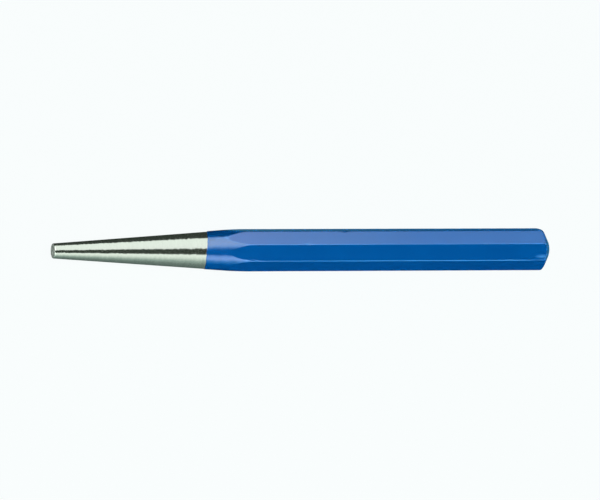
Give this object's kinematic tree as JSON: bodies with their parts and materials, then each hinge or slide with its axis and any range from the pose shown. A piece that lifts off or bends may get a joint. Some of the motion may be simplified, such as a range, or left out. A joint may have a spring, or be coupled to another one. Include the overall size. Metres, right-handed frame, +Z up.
{
  "type": "taper punch",
  "caption": "Straight hand punch: octagonal steel shank in blue lacquer, a bright ground conical point with a small flat tip, and a crowned striking head.",
  "frame": {"origin": "on the resting surface, under the middle of the punch's length, in its middle plane", "axes": "+X along the punch from the tip to the struck head, +Y across it, +Z up from the flat that it lies on"},
  "size_m": [0.1542, 0.012, 0.012],
  "materials": {
    "blue_lacquer": "gloss blue lacquer over bare tool steel",
    "ground_steel": "fine ground bright tool steel, on the point only"
  },
  "bodies": {
    "root": {"punch": "blue_lacquer"}
  },
  "joints": []
}
